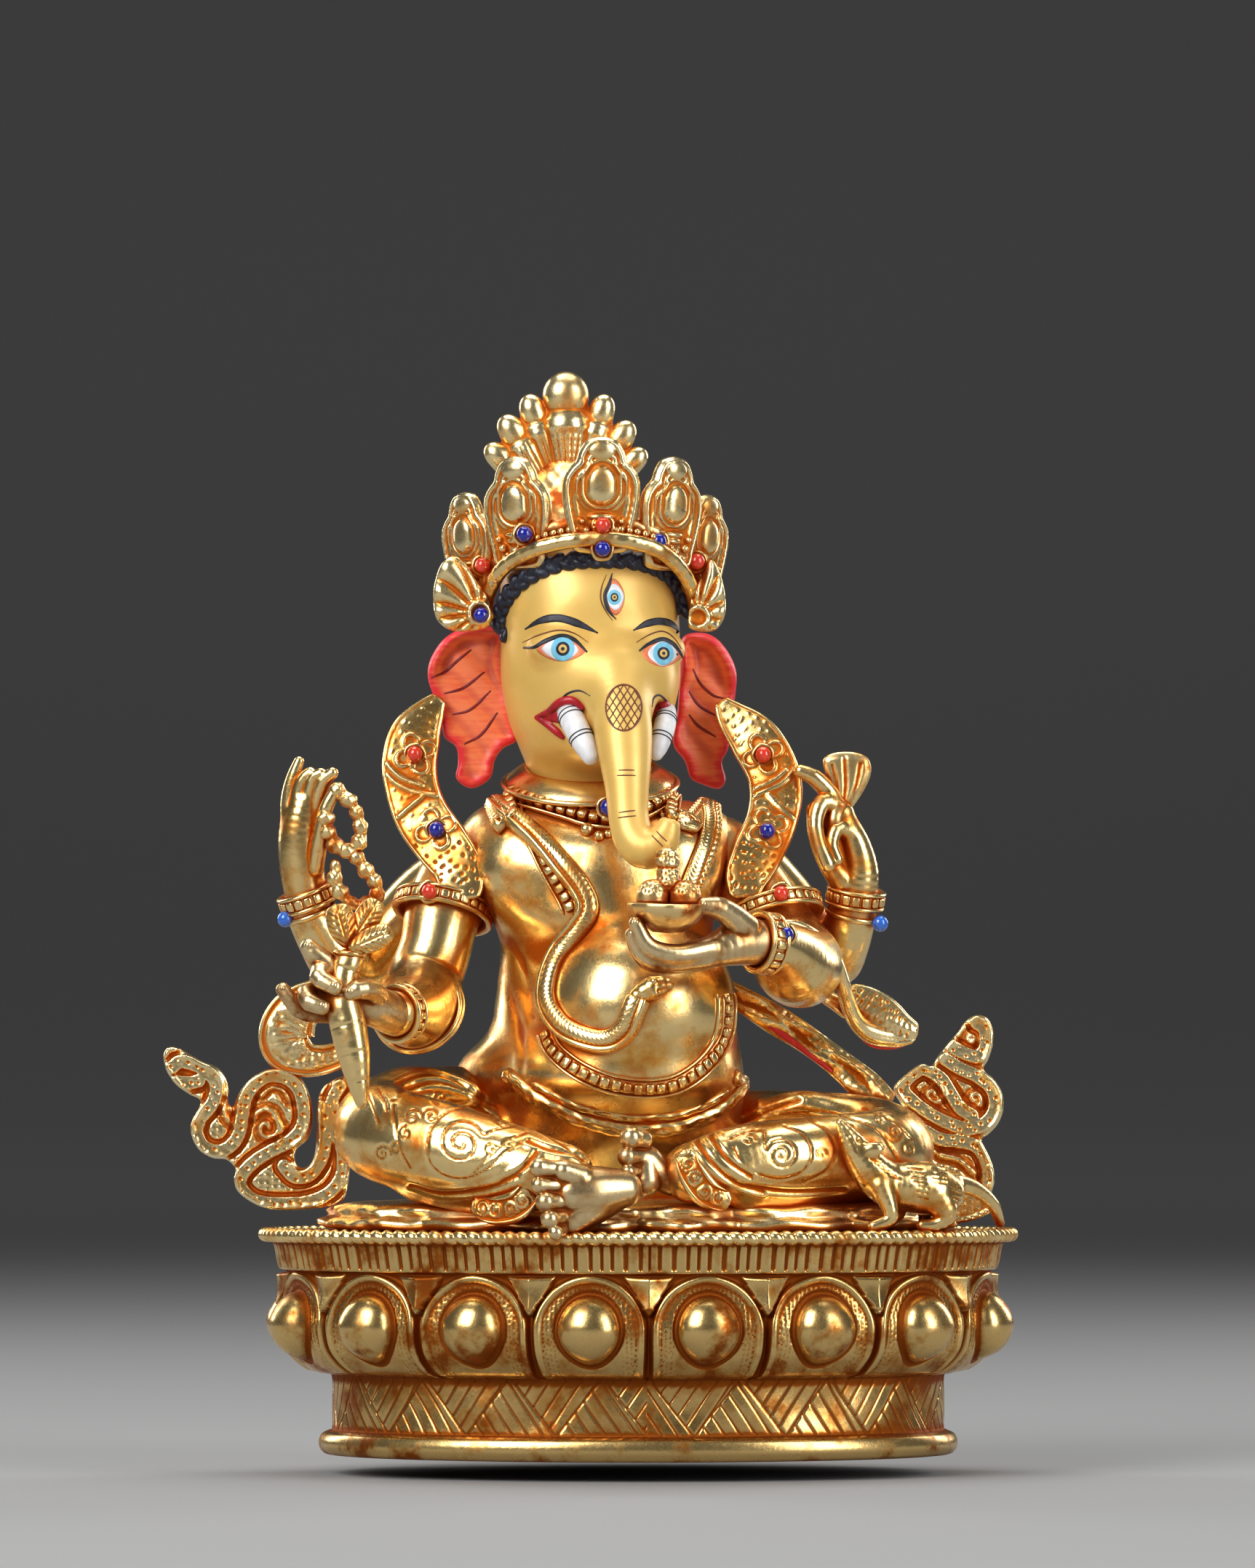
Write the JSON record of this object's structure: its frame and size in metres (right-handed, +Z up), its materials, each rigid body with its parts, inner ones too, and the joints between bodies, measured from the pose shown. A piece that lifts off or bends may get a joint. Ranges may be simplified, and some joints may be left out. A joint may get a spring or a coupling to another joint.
{
  "type": "ganesha idol",
  "caption": "Gilt seated elephant-headed deity with four arms, swirling scarves and a jewelled crown on an oval lotus base, with a mouse beside the knee.",
  "frame": {"origin": "centre of the underside of the oval lotus base, where it rests", "axes": "+Z up along the statue's height; the figure faces -Y; +X is the viewer's right and the figure's left"},
  "size_m": [0.1604, 0.0987, 0.2041],
  "materials": {
    "gilt": "worn mercury gilding over copper, polished on the high points and orange-brown in the recesses",
    "gilt_aged": "darker worn gilding with a brown patina",
    "copper": "bare copper, dull",
    "face_paint": "matte cold-gold paint",
    "ear_paint": "matte coral red paint with darker edges",
    "tusk_paint": "white paint",
    "hair_paint": "satin blue-black paint",
    "coral": "polished opaque coral-red cabochons",
    "lapis": "polished opaque deep blue cabochons",
    "turquoise": "polished opaque light blue cabochons"
  },
  "bodies": {
    "root": {"lotus_base": "gilt", "rope_rim": "gilt", "base_plate": "copper", "fixing_rivets": "copper", "seat_drapery": "gilt_aged", "torso": "gilt", "waist_belt": "gilt", "right_leg": "gilt", "left_leg": "gilt", "right_foot": "gilt", "left_foot": "gilt", "dhoti_hem": "gilt", "right_front_arm": "gilt", "right_rear_arm": "gilt", "left_front_arm": "gilt", "left_rear_arm": "gilt", "right_front_hand": "gilt", "right_rear_hand": "gilt", "left_front_hand": "gilt", "left_rear_hand": "gilt", "armlets": "gilt", "bracelets": "gilt", "collar": "gilt", "necklace_beads": "gilt", "garland_beads": "gilt", "snake_thread": "gilt", "shoulder_sash": "gilt", "head": "face_paint", "right_ear": "ear_paint", "left_ear": "ear_paint", "right_tusk": "tusk_paint", "left_tusk": "tusk_paint", "hair_braid": "hair_paint", "crown_cap": "gilt", "crown_band": "gilt", "crown_leaves": "gilt", "crown_fan": "gilt", "crown_wings": "gilt", "right_shoulder_scarf": "gilt", "left_shoulder_scarf": "gilt", "right_scarf_loop": "gilt", "left_scarf_tail": "gilt", "left_scarf_strut": "gilt", "right_scarf_swirl": "gilt", "left_scarf_swirl": "gilt", "rosary": "gilt_aged", "radish": "gilt", "axe": "gilt_aged", "sweet_bowl": "gilt_aged", "sweets": "gilt_aged", "mouse": "gilt", "mouse_pin": "copper", "coral_stones": "coral", "lapis_stones": "lapis", "turquoise_stones": "turquoise", "stone_settings": "gilt"}
  },
  "joints": []
}
